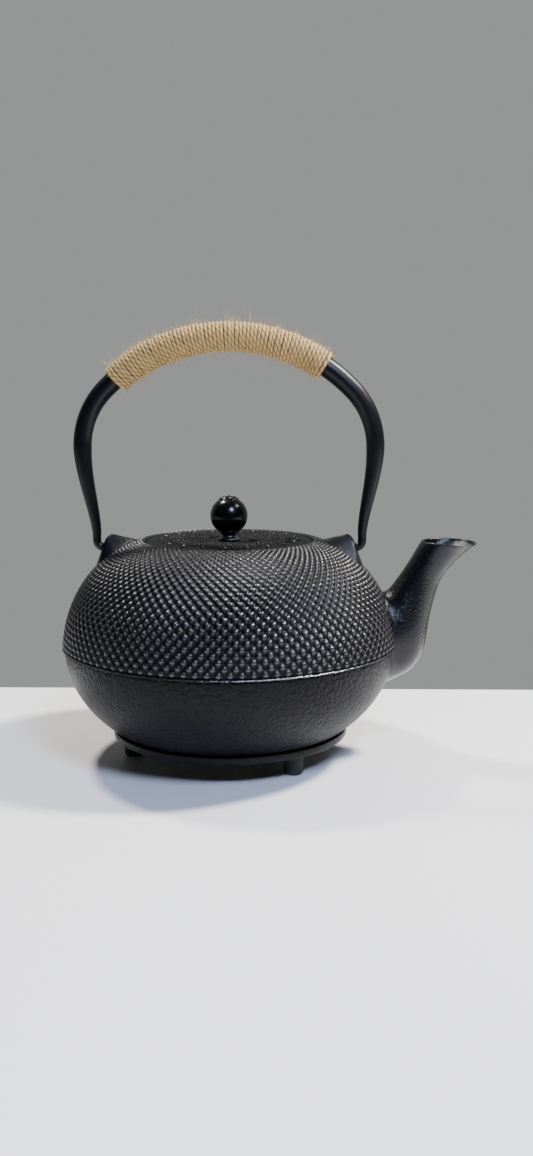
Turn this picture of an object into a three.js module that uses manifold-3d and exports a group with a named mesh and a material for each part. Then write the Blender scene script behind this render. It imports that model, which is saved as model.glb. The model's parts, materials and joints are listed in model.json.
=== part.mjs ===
// Cast iron teapot on its trivet: one iron casting (bowl, dotted band, spout and bail lugs), a flat lid
// with a ball knob, a tea strainer in the mouth, a hooped steel bail wound with twine, and a cast trivet
// on three feet. Millimetres, +Z up. The spout points along +X and the bail turns about X.
import * as THREE from 'three';
import { mergeVertices } from 'three/addons/utils/BufferGeometryUtils.js';
import { ConvexGeometry } from 'three/addons/geometries/ConvexGeometry.js';
import Module from 'manifold-3d';

const wasm = await Module();
wasm.setup();

// ---- driving dimensions ------------------------------------------------------------------------------
const gap = 0.3; // between pieces that touch
const wall = 3.2; // thickness of the pot's casting

const bodyRadius = 95.7; // widest radius of the dotted band
const potHeight = 111.7; // from the pot's base to the top of the band's elliptical section
const bandCentreR = 37.7; // centre of the band's elliptical section, out from the axis
const bandCentreH = 46.3; // and above the pot's base
const borderH = 50.6; // height of the step between bowl and band above the base
const stepOverhang = 0.9; // how far the band stands out over the bowl
const bowlCentreR = 5.6; // centre of the bowl's elliptical section, out from the axis
const bowlCentreH = 49; // and above the base
const bowlDepth = 64.1; // vertical half axis of that section, cut off flat by the base

const lidRadius = 47.7;
const lidThickness = 2.7;
const lidGap = 0.5; // around the lid in its seat
const seatWidth = 4.4; // ledge that the lid and the strainer's rim rest on
const ledgeDepth = 3.2; // thickness of the casting under that ledge
const collarWidth = 4.8; // plain ring around the lid
const collarRise = 0.6; // its height over the dotted shoulder
const skirtDepth = 9; // ring under the lid that centres it
const skirtWall = 2.2;

const ballRadius = 10.7;
const neckHeight = 3.4;
const neckRadius = 4;
const neckBaseRadius = 6.2;
const knobScrewRadius = 2;
const knobScrewHeadRadius = 3.8;
const knobScrewHeadHeight = 2.2;
const washerRadius = 6;
const washerThickness = 0.9;

const strainerDepth = 52;
const strainerWall = 0.7;
const strainerRimWidth = 4.2;

const hookRadius = 2.4; // bail rod where it hooks into the lugs
const hookClearance = 0.6; // around it in the lug's hole
const hookDrop = 4.4; // bail axis below the top of the collar
const hookReach = 6; // length of the hook inside the lug
const hookStandoff = 0.8; // between the lug's outer face and the rod that rises past it
const lugDrop = 13; // foot of the lug's outer face below the bail axis
const lugSlant = 0.375; // how far that face runs out for each millimetre down
const lugNose = 40; // its bulge: at y it stands back by y squared over this
const lugHalfWidth = 12.8;
const lugRidge = 2.4; // half width of its blunt ridge
const lugPeak = 8.2; // ridge above the bail axis at its outer end
const lugLength = 19; // ridge, from the outer face in to the collar
const armRadius = 5.2; // bail rod at its widest bow
const gripRadius = 5.8; // bail rod under the twine
const bailRise = 118.8; // bail axis to the rod's centre at the crown
const bailBow = 7; // how far the arms bow out beyond the hooks
const crownArc = 98; // radius of the bail's centreline over the grip
const shoulderArc = 46; // and at its shoulders
const twineThickness = 2.4;
const gripStart = -64; // ends of the winding, measured along X
const gripEnd = 55.5;

const spoutReach = 45.7; // tip of the lip beyond the band
const spoutRootDrop = 22.6; // bottom of the spout's root below the border
const spoutLipDrop = 1.2; // lip below the top of the collar
const spoutWall = 3;
const lipWall = 1.5;

const footHeight = 11.8;
const footRadius = 5.4;
const footInset = 11.2; // middle of each foot in from the trivet's edge
const footAngles = [-49, 71, 191];
const trivetThickness = 2.6;
const trivetRimHeight = 1.9;
const trivetRimWidth = 1.8; // across the top of the rim
const trivetRimSlope = 1.4; // run of the rim's inner slope
const trivetRimClearance = 0.7; // around the bowl inside the rim
const footScrewRadius = 1.7;
const footScrewHeadRadius = 3.4;
const footScrewHeadHeight = 1.2;

// ---- derived heights and radii -------------------------------------------------------------------------
const plateZ = footHeight + gap;
const plateTopZ = plateZ + trivetThickness;
const baseZ = plateTopZ + gap;
const borderZ = baseZ + borderH;
const bandCentreZ = baseZ + bandCentreH;
const bandHalfWidth = bodyRadius - bandCentreR;
const bandHalfHeight = potHeight - bandCentreH;
const bowlCentreZ = baseZ + bowlCentreH;
const bowlHalfWidth = bodyRadius - stepOverhang - bowlCentreR;

const trivetRimZ = plateTopZ + trivetRimHeight;
const trivetRimInner = bowlR(trivetRimZ) + trivetRimClearance;
const trivetRadius = trivetRimInner + trivetRimWidth;
const footCircle = trivetRadius - footInset;

const seatRadius = lidRadius + lidGap;
const mouthRadius = seatRadius - seatWidth;
const collarRadius = seatRadius + collarWidth;
const collarFootZ = bandZ(collarRadius);
const collarTopZ = collarFootZ + collarRise;
const lidZ = collarTopZ - lidThickness;
const strainerRimZ = lidZ - gap - strainerWall;
const seatZ = strainerRimZ - gap;
const throatZ = seatZ - ledgeDepth;

const neckZ = collarTopZ + gap;
const ballFlatZ = neckZ + neckHeight + gap;
const ballZ = ballFlatZ + 0.92 * ballRadius;
const washerZ = lidZ - gap - washerThickness;
const screwHeadZ = washerZ - gap - knobScrewHeadHeight;

const pivotZ = collarTopZ - hookDrop;
const lugFootZ = pivotZ - lugDrop;
const lugFootX = bandR(lugFootZ) - 0.8;
const lugFaceX = lugFootX - lugSlant * (pivotZ - lugFootZ);
const pivotX = lugFaceX + hookRadius + hookStandoff;
const holeRadius = hookRadius + hookClearance;
const bowX = pivotX + bailBow;
const crownZ = pivotZ + bailRise;

const spoutRootZ = borderZ - spoutRootDrop;
const spoutLipZ = collarTopZ - spoutLipDrop;

// The pot's axis stands off the origin, which is under the middle of the whole object.
const axisX = -(bodyRadius + spoutReach - bandR(borderZ)) / 2;

function bandR(z) {
  return bandCentreR + bandHalfWidth * Math.sqrt(1 - ((z - bandCentreZ) / bandHalfHeight) ** 2);
}

function bowlR(z) {
  return bowlCentreR + bowlHalfWidth * Math.sqrt(1 - ((z - bowlCentreZ) / bowlDepth) ** 2);
}

function bandZ(r) {
  return bandCentreZ + bandHalfHeight * Math.sqrt(1 - ((r - bandCentreR) / bandHalfWidth) ** 2);
}

// ---- solids ----------------------------------------------------------------------------------------------

const smallest = 0.05; // edges shorter than this are closed up after a cut

// Welds the corners of a closed mesh, drops faces of no area, and turns its faces outwards.
function closed(geometry) {
  const bare = geometry.clone();
  bare.deleteAttribute('normal');
  bare.deleteAttribute('uv');
  const welded = mergeVertices(bare, 1e-4);
  const position = welded.attributes.position;
  const faces = [];
  let volume = 0;
  const [a, b, c] = [new THREE.Vector3(), new THREE.Vector3(), new THREE.Vector3()];
  for (let i = 0; i < welded.index.count; i += 3) {
    const corner = [0, 1, 2].map((k) => welded.index.getX(i + k));
    if (new Set(corner).size < 3) continue;
    a.fromBufferAttribute(position, corner[0]);
    b.fromBufferAttribute(position, corner[1]);
    c.fromBufferAttribute(position, corner[2]);
    volume += a.dot(b.cross(c));
    faces.push(corner);
  }
  const turned = volume < 0 ? faces.map(([p, q, r]) => [p, r, q]) : faces;
  const solid = new THREE.BufferGeometry();
  solid.setAttribute('position', position);
  solid.setIndex(turned.flat());
  return solid;
}

// A profile of [radius, height] points turned about the vertical axis.
function turned(profile, segments = 36) {
  const points = profile.map(([r, z]) => new THREE.Vector2(r, z));
  return closed(new THREE.LatheGeometry(points, segments).rotateX(Math.PI / 2));
}

// Rings of equal point count joined in order, with flat ends; a closed loop of rings has no ends.
function lofted(rings, loop = false) {
  const sides = rings[0].length;
  const corners = rings.flat();
  const faces = [];
  const spans = loop ? rings.length : rings.length - 1;
  for (let i = 0; i < spans; i += 1) {
    const here = i * sides;
    const next = ((i + 1) % rings.length) * sides;
    for (let k = 0; k < sides; k += 1) {
      const m = (k + 1) % sides;
      faces.push(here + k, next + k, next + m, here + k, next + m, here + m);
    }
  }
  if (!loop) {
    const last = (rings.length - 1) * sides;
    for (let k = 1; k < sides - 1; k += 1) {
      faces.push(0, k, k + 1, last, last + k + 1, last + k);
    }
  }
  const geometry = new THREE.BufferGeometry().setFromPoints(corners);
  geometry.setIndex(faces);
  return closed(geometry);
}

// An upright cylinder between two heights.
function drum(radius, low, high, segments = 16) {
  return turned([[0, low], [radius, low], [radius, high], [0, high]], segments);
}

function manifold(geometry) {
  return new wasm.Manifold(new wasm.Mesh({
    numProp: 3,
    vertProperties: new Float32Array(geometry.attributes.position.array),
    triVerts: new Uint32Array(geometry.index.array),
  }));
}

function joined(geometries) {
  return geometries.map(manifold).reduce((whole, piece) => whole.add(piece));
}

function cut(geometries, tools) {
  const rest = joined(geometries).subtract(joined(tools)).simplify(smallest);
  const { vertProperties, triVerts } = rest.getMesh();
  const geometry = new THREE.BufferGeometry();
  geometry.setAttribute('position', new THREE.BufferAttribute(vertProperties, 3));
  geometry.setIndex(new THREE.BufferAttribute(triVerts, 1));
  return geometry;
}

// Points of an upright ellipse's outer side between two heights.
function ellipseSide(centreR, centreZ, halfWidth, halfHeight, low, high, steps) {
  const from = Math.asin((low - centreZ) / halfHeight);
  const to = Math.asin((high - centreZ) / halfHeight);
  return Array.from({ length: steps + 1 }, (_, i) => {
    const angle = from + ((to - from) * i) / steps;
    return [centreR + halfWidth * Math.cos(angle), centreZ + halfHeight * Math.sin(angle)];
  });
}

// ---- pot ---------------------------------------------------------------------------------------------------

const vesselSides = 48; // facets around the vessel

// Outside of the vessel: flat base, bowl, step, dotted band and plain collar.
function vesselOutside() {
  const bowl = ellipseSide(bowlCentreR, bowlCentreZ, bowlHalfWidth, bowlDepth, baseZ + 1, borderZ, 8);
  const band = ellipseSide(bandCentreR, bandCentreZ, bandHalfWidth, bandHalfHeight, borderZ, collarFootZ, 9);
  const baseRadius = bowl[0][0] - 3;
  const collar = [[collarRadius, collarTopZ], [0, collarTopZ]];
  return turned([[0, baseZ], [baseRadius, baseZ], ...bowl, ...band, ...collar], vesselSides);
}

// Inside of the vessel, its mouth and the seat of the lid.
function vesselInside() {
  const floorZ = baseZ + wall;
  const bowl = ellipseSide(
    bowlCentreR, bowlCentreZ, bowlHalfWidth - wall, bowlDepth - wall, floorZ, borderZ, 5);
  const band = ellipseSide(
    bandCentreR, bandCentreZ, bandHalfWidth - wall, bandHalfHeight - wall, borderZ, throatZ, 6);
  const mouth = [[mouthRadius, throatZ], [mouthRadius, seatZ], [seatRadius, seatZ]];
  const above = collarTopZ + 5;
  return turned([[0, floorZ], ...bowl, ...band, ...mouth, [seatRadius, above], [0, above]], vesselSides);
}

// The spout's section at each station: its upper and lower edge as [reach, height], each a share of the
// spout's reach beyond the band and of its height from root to lip, and its half width in millimetres.
const spoutStations = [
  [-0.346, 0.58, -0.346, 0, 15],
  [-0.162, 0.625, -0.083, 0.002, 16.5],
  [-0.138, 0.633, 0.203, 0.082, 16.5],
  [-0.114, 0.643, 0.361, 0.222, 15.5],
  [-0.077, 0.663, 0.429, 0.453, 13.5],
  [-0.007, 0.716, 0.479, 0.583, 12],
  [0.098, 0.802, 0.56, 0.728, 11],
  [0.197, 0.892, 0.705, 0.842, 11.8],
  [0.263, 0.958, 0.858, 0.928, 13.6],
  [0.311, 1, 1, 0.99, 15.9],
];

// The spout's skin, drawn in by an inset that eases from the casting's wall to the lip's.
function spoutSkin(rootInset, lipInset, sides, steps, extend) {
  const height = spoutLipZ - spoutRootZ;
  const edge = (reach, rise) => new THREE.Vector3(
    bodyRadius + reach * spoutReach, 0, spoutRootZ + rise * height);
  const upper = new THREE.CatmullRomCurve3(spoutStations.map((s) => edge(s[0], s[1])));
  const lower = new THREE.CatmullRomCurve3(spoutStations.map((s) => edge(s[2], s[3])));
  const width = new THREE.CatmullRomCurve3(spoutStations.map((s) => new THREE.Vector3(s[4], 0, 0)));
  const rings = [];
  for (let i = 0; i <= steps; i += 1) {
    const t = i / steps;
    const [top, bottom] = [upper.getPoint(t), lower.getPoint(t)];
    const centre = top.clone().lerp(bottom, 0.5);
    const inset = rootInset + (lipInset - rootInset) * t;
    const half = top.clone().sub(centre);
    half.setLength(half.length() - inset);
    const across = width.getPoint(t).x - inset;
    rings.push(sectionRing(centre, half, across, sides));
  }
  const end = rings.pop();
  return lofted([...rings, end.map((p) => p.clone().setZ(p.z + extend))]);
}

function sectionRing(centre, half, across, sides) {
  return Array.from({ length: sides }, (_, k) => {
    const angle = (2 * Math.PI * k) / sides;
    const point = centre.clone().addScaledVector(half, Math.cos(angle));
    return point.setY(across * Math.sin(angle));
  });
}

// Outer face of a lug: it leans out downwards and bulges outwards in the middle.
function lugFace(y, z) {
  return lugFaceX - lugSlant * (z - pivotZ) - (y * y) / lugNose;
}

// A hooded ear: leaning outer face, flanks that fall to the shoulder, blunt ridge running in to the collar.
function lug(side) {
  const browZ = pivotZ + lugPeak - 2.4;
  const corners = [
    [lugFace(0, lugFootZ), 0, lugFootZ],
    [lugFace(5, lugFootZ), 5, lugFootZ],
    [lugFace(9, lugFootZ), 9, lugFootZ],
    [lugFace(lugHalfWidth, lugFootZ), lugHalfWidth, lugFootZ],
    [lugFace(lugRidge, browZ), lugRidge + 0.8, browZ],
    [lugFaceX - 6, lugRidge, pivotZ + lugPeak],
    [lugFaceX - lugLength, lugRidge, collarTopZ - 0.3],
    [lugFaceX - lugLength, lugHalfWidth, collarTopZ - 8],
    [lugFaceX - 8, lugHalfWidth, lugFootZ],
  ];
  const points = corners.flatMap(([x, y, z]) => [
    new THREE.Vector3(side * x, y, z),
    new THREE.Vector3(side * x, -y, z),
  ]);
  return closed(new ConvexGeometry(points));
}

// The blind hole across a lug that the bail's hook turns in.
function lugHole(side) {
  const start = lugFaceX - hookReach - 1.5;
  const length = 20;
  const bore = new THREE.CylinderGeometry(holeRadius, holeRadius, length, 20).rotateZ(Math.PI / 2);
  return closed(bore.translate(side * (start + length / 2), 0, pivotZ));
}

function potBody() {
  const bore = spoutSkin(spoutWall, lipWall, 16, 11, 3);
  return cut(
    [vesselOutside(), spoutSkin(0, 0, 20, 14, 0), lug(1), lug(-1)],
    [vesselInside(), bore, lugHole(1), lugHole(-1)],
  );
}

// ---- lid and knob --------------------------------------------------------------------------------------------

function lidPlate() {
  const edge = 0.8;
  const skirtOuter = mouthRadius - strainerWall - 2.5;
  const skirtZ = lidZ - skirtDepth;
  const hole = knobScrewRadius + gap;
  return turned([
    [hole, lidZ],
    [skirtOuter - skirtWall, lidZ],
    [skirtOuter - skirtWall, skirtZ],
    [skirtOuter, skirtZ],
    [skirtOuter, lidZ],
    [lidRadius - edge, lidZ],
    [lidRadius, lidZ + edge],
    [lidRadius, collarTopZ - edge],
    [lidRadius - edge, collarTopZ],
    [hole, collarTopZ],
    [hole, lidZ],
  ]);
}

function knobNeck() {
  const hole = knobScrewRadius + gap;
  const top = neckZ + neckHeight;
  return turned([
    [hole, neckZ],
    [neckBaseRadius, neckZ],
    [neckBaseRadius, neckZ + 0.6],
    [neckRadius, neckZ + 0.55 * neckHeight],
    [neckRadius, top],
    [hole, top],
    [hole, neckZ],
  ], 20);
}

function knobBall() {
  const hole = knobScrewRadius + gap;
  const from = Math.asin((ballFlatZ - ballZ) / ballRadius);
  const steps = 9;
  const arc = Array.from({ length: steps + 1 }, (_, i) => {
    const angle = from + ((Math.PI / 2 - from) * i) / steps;
    return [i < steps ? ballRadius * Math.cos(angle) : 0, ballZ + ballRadius * Math.sin(angle)];
  });
  return turned([[0, ballZ], [hole, ballZ - 1], [hole, ballFlatZ], ...arc], 20);
}

function knobWasher() {
  const hole = knobScrewRadius + gap;
  const top = washerZ + washerThickness;
  return turned([
    [hole, washerZ], [washerRadius, washerZ], [washerRadius, top], [hole, top], [hole, washerZ],
  ], 16);
}

function knobScrew() {
  const top = screwHeadZ + knobScrewHeadHeight;
  return turned([
    [0, screwHeadZ],
    [knobScrewHeadRadius - 0.6, screwHeadZ],
    [knobScrewHeadRadius, screwHeadZ + 0.8],
    [knobScrewHeadRadius, top],
    [knobScrewRadius, top],
    [knobScrewRadius, ballZ - 2],
    [0, ballZ - 2],
  ], 16);
}

// ---- tea strainer ----------------------------------------------------------------------------------------------

const strainerRadius = mouthRadius - 0.8;

// A flat rolled ring that hangs on the seat inside the mouth.
function strainerRim() {
  const inner = strainerRadius - strainerWall - gap;
  const outer = Math.min(strainerRadius + strainerRimWidth, seatRadius - 0.4);
  const top = strainerRimZ + strainerWall;
  return turned([
    [inner, strainerRimZ], [outer, strainerRimZ], [outer, top], [inner, top], [inner, strainerRimZ],
  ]);
}

// A thin round basket with a curved bottom edge, open above.
function strainerBasket() {
  const top = strainerRimZ - gap;
  const floor = top - strainerDepth;
  const round = 10;
  const side = (radius, low, turn) => Array.from({ length: 5 }, (_, i) => {
    const angle = (Math.PI / 2) * (i / 4);
    return [radius - turn + turn * Math.sin(angle), low + turn - turn * Math.cos(angle)];
  });
  const outside = side(strainerRadius, floor, round);
  const inside = side(strainerRadius - strainerWall, floor + strainerWall, round - strainerWall).reverse();
  return turned([
    [0, floor], ...outside, [strainerRadius, top],
    [strainerRadius - strainerWall, top], ...inside, [0, floor + strainerWall],
  ]);
}

// ---- bail and twine ----------------------------------------------------------------------------------------------

// Centreline of the bail from the tip of the hook at +X over the crown to the other tip.
function bailPath() {
  const at = (x, z) => new THREE.Vector3(x, 0, z);
  const lean = Math.asin((bowX - shoulderArc) / (crownArc - shoulderArc));
  const crownCentreZ = crownZ - crownArc;
  const shoulderX = bowX - shoulderArc;
  const shoulderZ = crownCentreZ + (crownArc - shoulderArc) * Math.cos(lean);
  const bend = 4.2;
  const armFootZ = pivotZ + 8.5;
  const armHeight = shoulderZ - armFootZ;
  const hook = [at(lugFaceX - hookReach, pivotZ), at(pivotX - bend, pivotZ)];
  const turn = new THREE.QuadraticBezierCurve3(hook[1], at(pivotX, pivotZ), at(pivotX, pivotZ + bend));
  const rise = new THREE.CubicBezierCurve3(
    at(pivotX, armFootZ), at(pivotX + 0.1 * bailBow, armFootZ + 0.28 * armHeight),
    at(bowX, shoulderZ - 0.36 * armHeight), at(bowX, shoulderZ));
  const half = [hook[0], ...turn.getPoints(4), ...rise.getPoints(8)];
  const arc = (cx, cz, radius, from, to, steps) => {
    for (let i = 1; i <= steps; i += 1) {
      const angle = from + ((to - from) * i) / steps;
      half.push(at(cx + radius * Math.cos(angle), cz + radius * Math.sin(angle)));
    }
  };
  arc(shoulderX, shoulderZ, shoulderArc, 0, Math.PI / 2 - lean, 5);
  arc(0, crownCentreZ, crownArc, Math.PI / 2 - lean, Math.PI / 2, 6);
  const other = half.slice(0, -1).reverse().map((p) => at(-p.x, p.z));
  return [...half, ...other];
}

// Rod radius: slim at the hooks, full at the bow, a little fuller under the twine.
function rodRadius(z) {
  const rise = THREE.MathUtils.clamp((z - pivotZ - 6) / 50, 0, 1);
  const grip = THREE.MathUtils.smoothstep(z, pivotZ + 0.5 * bailRise, crownZ);
  return hookRadius + (armRadius - hookRadius) * rise + (gripRadius - armRadius) * grip;
}

// Rings across a path in the XZ plane.
function ringsAlong(path, radiusAt, sides) {
  return path.map((centre, i) => {
    const before = path[Math.max(i - 1, 0)];
    const after = path[Math.min(i + 1, path.length - 1)];
    const along = after.clone().sub(before).normalize();
    const outward = new THREE.Vector3(along.z, 0, -along.x);
    const radius = radiusAt(centre);
    return sectionRing(centre, outward.multiplyScalar(radius), radius, sides);
  });
}

function bailRod() {
  return lofted(ringsAlong(bailPath(), (p) => rodRadius(p.z), 10));
}

// The winding as one sleeve around the rod, on the rod's own stations between the winding's two ends.
function twineSleeve() {
  const rod = bailPath().filter((p) => p.z > pivotZ + 0.5 * bailRise).sort((p, q) => p.x - q.x);
  const pointAt = (x) => {
    const next = rod.findIndex((p) => p.x > x);
    const share = (x - rod[next - 1].x) / (rod[next].x - rod[next - 1].x);
    return rod[next - 1].clone().lerp(rod[next], share);
  };
  const clearOfEnds = (p) => p.x > gripStart + 1 && p.x < gripEnd - 1;
  const path = [pointAt(gripStart), ...rod.filter(clearOfEnds), pointAt(gripEnd)];
  const outer = ringsAlong(path, (p) => rodRadius(p.z) + gap + twineThickness, 12);
  const inner = ringsAlong(path, (p) => rodRadius(p.z) + gap, 12).reverse();
  return lofted([...outer, ...inner], true);
}

// ---- trivet ----------------------------------------------------------------------------------------------------

const screwHeadSeatZ = plateTopZ - gap - footScrewHeadHeight - gap;
const footPlaces = footAngles.map((degrees) => {
  const angle = THREE.MathUtils.degToRad(degrees);
  return [footCircle * Math.cos(angle), footCircle * Math.sin(angle)];
});

function trivetPlate() {
  const round = 1.3;
  const plate = turned([
    [0, plateZ],
    [trivetRadius - round, plateZ],
    [trivetRadius, plateZ + round],
    [trivetRadius, trivetRimZ - round],
    [trivetRadius - round, trivetRimZ],
    [trivetRimInner, trivetRimZ],
    [trivetRimInner - trivetRimSlope, plateTopZ],
    [0, plateTopZ],
  ], vesselSides);
  const holes = footPlaces.flatMap(([x, y]) => [
    drum(footScrewRadius + gap, plateZ - 1, plateTopZ + 1).translate(x, y, 0),
    drum(footScrewHeadRadius + gap, screwHeadSeatZ, plateTopZ + 1).translate(x, y, 0),
  ]);
  return cut([plate], holes);
}

function trivetFoot() {
  const round = 1.4;
  const hole = footScrewRadius + gap;
  return turned([
    [0, 0],
    [footRadius - round, 0],
    [footRadius, round],
    [footRadius, footHeight],
    [hole, footHeight],
    [hole, 3.5],
    [0, 3.5],
  ], 16);
}

function footScrew() {
  const seat = screwHeadSeatZ + gap;
  const top = seat + footScrewHeadHeight;
  return turned([
    [0, 4],
    [footScrewRadius, 4],
    [footScrewRadius, seat],
    [footScrewHeadRadius, seat],
    [footScrewHeadRadius, top - 0.4],
    [footScrewHeadRadius - 0.5, top],
    [0, top],
  ], 12);
}

// ---- the object --------------------------------------------------------------------------------------------------

const iron = new THREE.MeshStandardMaterial({ color: 0x1d1e21, roughness: 0.45, metalness: 0.6 });
const gloss = new THREE.MeshStandardMaterial({ color: 0x101114, roughness: 0.15, metalness: 0.3 });
const satin = new THREE.MeshStandardMaterial({ color: 0x17181a, roughness: 0.4, metalness: 0.4 });
const jute = new THREE.MeshStandardMaterial({ color: 0xb99a68, roughness: 0.95, metalness: 0 });
const steel = new THREE.MeshStandardMaterial({ color: 0xb9bcc0, roughness: 0.3, metalness: 0.9 });
const rubber = new THREE.MeshStandardMaterial({ color: 0x0c0c0d, roughness: 0.8, metalness: 0 });

const group = new THREE.Group();
group.position.x = axisX;

function put(name, geometry, material, x = 0, y = 0) {
  const mesh = new THREE.Mesh(geometry, material);
  mesh.name = name;
  mesh.position.set(x, y, 0);
  group.add(mesh);
}

put('pot_body', potBody(), iron);
put('lid_plate', lidPlate(), iron);
put('knob_neck', knobNeck(), gloss);
put('knob_ball', knobBall(), gloss);
put('knob_washer', knobWasher(), steel);
put('knob_screw', knobScrew(), steel);
put('strainer_rim', strainerRim(), steel);
put('strainer_basket', strainerBasket(), steel);
put('bail_rod', bailRod(), satin);
put('twine_grip', twineSleeve(), jute);
put('trivet_plate', trivetPlate(), iron);
footPlaces.forEach(([x, y], i) => {
  put(`trivet_foot_${i + 1}`, trivetFoot(), rubber, x, y);
  put(`foot_screw_${i + 1}`, footScrew(), steel, x, y);
});

export default group;
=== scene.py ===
import json
import math

import bpy
import numpy as np
from mathutils import Matrix, Vector


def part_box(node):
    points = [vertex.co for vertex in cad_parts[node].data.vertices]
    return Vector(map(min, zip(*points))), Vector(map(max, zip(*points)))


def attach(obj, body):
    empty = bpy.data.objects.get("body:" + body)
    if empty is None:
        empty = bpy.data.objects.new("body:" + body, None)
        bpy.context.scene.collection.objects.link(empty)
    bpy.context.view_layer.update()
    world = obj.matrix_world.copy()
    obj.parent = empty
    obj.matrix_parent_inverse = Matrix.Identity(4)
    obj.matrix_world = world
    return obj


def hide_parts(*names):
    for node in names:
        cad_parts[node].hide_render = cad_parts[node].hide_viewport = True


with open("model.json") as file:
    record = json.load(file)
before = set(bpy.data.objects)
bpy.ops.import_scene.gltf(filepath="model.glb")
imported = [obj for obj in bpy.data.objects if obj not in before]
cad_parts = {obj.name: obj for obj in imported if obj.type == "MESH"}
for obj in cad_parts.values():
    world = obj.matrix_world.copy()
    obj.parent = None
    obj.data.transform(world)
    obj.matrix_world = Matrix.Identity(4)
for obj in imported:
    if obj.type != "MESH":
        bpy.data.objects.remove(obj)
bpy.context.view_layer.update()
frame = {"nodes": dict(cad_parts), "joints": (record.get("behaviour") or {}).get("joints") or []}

# ---- setting -------------------------------------------------------------------------------------
# A white shelf with a grey room behind it, under soft ceiling lamps. The camera stands about 65 cm in
# front of the pot, a little above its lid and walked slightly round towards the spout.

bail_joint = next(j for j in frame["joints"] if j["name"] == "bail_swing")
axis_x, _, pivot_m = bail_joint["pos_m"]
pivot = pivot_m * 1000


def stand_camera(distance, height, walk, turn, tilt, roll, lens):
    """The camera on a circle about the pot's axis: forward is (sin turn cos tilt, cos turn cos tilt,
    -sin tilt), with the picture's right and lower edges turned by roll about it."""
    walk, turn, tilt, roll = (math.radians(angle) for angle in (walk, turn, tilt, roll))
    forward = Vector((math.sin(turn) * math.cos(tilt), math.cos(turn) * math.cos(tilt), -math.sin(tilt)))
    level = Vector((math.cos(turn), -math.sin(turn), 0))
    down = forward.cross(level)
    across = math.cos(roll) * level + math.sin(roll) * down
    below = math.cos(roll) * down - math.sin(roll) * level
    camera = bpy.data.objects.new("camera", bpy.data.cameras.new("camera"))
    camera.data.sensor_fit = "VERTICAL"
    camera.data.sensor_height = 36
    camera.data.lens = lens
    camera.data.clip_start = 0.02
    place = Matrix((across, -below, -forward)).transposed().to_4x4()
    place.translation = (axis_x + distance * math.sin(walk), -distance * math.cos(walk), height)
    camera.matrix_world = place
    bpy.context.scene.collection.objects.link(camera)
    bpy.context.scene.camera = camera


stand_camera(distance=0.6521, height=0.2061, walk=3.6, turn=-1.72, tilt=9.03, roll=0.16, lens=35.57)


def node(tree, kind, settings=None, **inputs):
    """Adds a shader node. An input given as a node's output is linked, and a plain value is set; an
    underscore in its name stands for a space, and in0, in1 count the inputs instead."""
    made = tree.nodes.new("ShaderNode" + kind)
    for key, value in (settings or {}).items():
        setattr(made, key, value)
    for key, value in inputs.items():
        counted = key.startswith("in") and key[2:].isdigit()
        socket = made.inputs[int(key[2:]) if counted else key.replace("_", " ")]
        if isinstance(value, bpy.types.NodeSocket):
            tree.links.new(value, socket)
        else:
            socket.default_value = value
    return made


def colour(red, green, blue):
    return (red, green, blue, 1)


def shelf():
    """A plain white slab, its far edge a hand's breadth behind the pot and its near edge an arm's length in
    front."""
    corners = [(-3, -0.46, 0), (3, -0.46, 0), (3, 0.142, 0), (-3, 0.142, 0)]
    mesh = bpy.data.meshes.new("shelf")
    mesh.from_pydata(corners, [], [(0, 1, 2, 3)])
    slab = bpy.data.objects.new("shelf", mesh)
    bpy.context.scene.collection.objects.link(slab)
    finish = bpy.data.materials.new("shelf laminate")
    finish.use_nodes = True
    tree = finish.node_tree
    place = node(tree, "TexCoord").outputs["Object"]
    grain = node(tree, "TexNoise", Vector=place, Scale=6.0, Detail=3.0).outputs["Fac"]
    shade = node(tree, "MapRange", Value=grain, To_Min=0.85, To_Max=0.88).outputs["Result"]
    shader = tree.nodes["Principled BSDF"]
    tree.links.new(node(tree, "CombineColor", Red=shade, Green=shade, Blue=shade).outputs[0],
                   shader.inputs["Base Color"])
    shader.inputs["Roughness"].default_value = 0.42
    slab.data.materials.append(finish)


def lamp(name, place, aim, size, watts, tint):
    light = bpy.data.lights.new(name, "AREA")
    light.shape = "DISK"
    light.size = size
    light.energy = watts
    light.color = tint
    lamp_object = bpy.data.objects.new(name, light)
    toward = (Vector(aim) - Vector(place)).to_track_quat("-Z", "Y").to_matrix().to_4x4()
    lamp_object.matrix_world = Matrix.Translation(place) @ toward
    bpy.context.scene.collection.objects.link(lamp_object)


def room():
    """Grey walls to the sides and behind, and a dim room on the camera's side, which the enamel mirrors."""
    world = bpy.data.worlds.new("room")
    bpy.context.scene.world = world
    world.use_nodes = True
    tree = world.node_tree
    tree.nodes.clear()
    way = node(tree, "TexCoord").outputs["Generated"]
    part = node(tree, "SeparateXYZ", Vector=way)
    depth = node(tree, "MapRange", {"interpolation_type": "SMOOTHSTEP"}, Value=part.outputs["Y"],
                 From_Min=-0.15, From_Max=0.6).outputs["Result"]
    mirrored = node(tree, "Mix", {"data_type": "RGBA"}, Factor=depth, in6=colour(0.010, 0.011, 0.014),
                    in7=colour(0.30, 0.305, 0.30)).outputs[2]
    seen = node(tree, "LightPath").outputs["Is Camera Ray"]
    both = node(tree, "Mix", {"data_type": "RGBA"}, Factor=seen, in6=mirrored,
                in7=colour(0.32, 0.33, 0.325)).outputs[2]
    light = node(tree, "Background", Color=both, Strength=1.0).outputs[0]
    output = node(tree, "OutputWorld")
    tree.links.new(light, output.inputs["Surface"])


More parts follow.
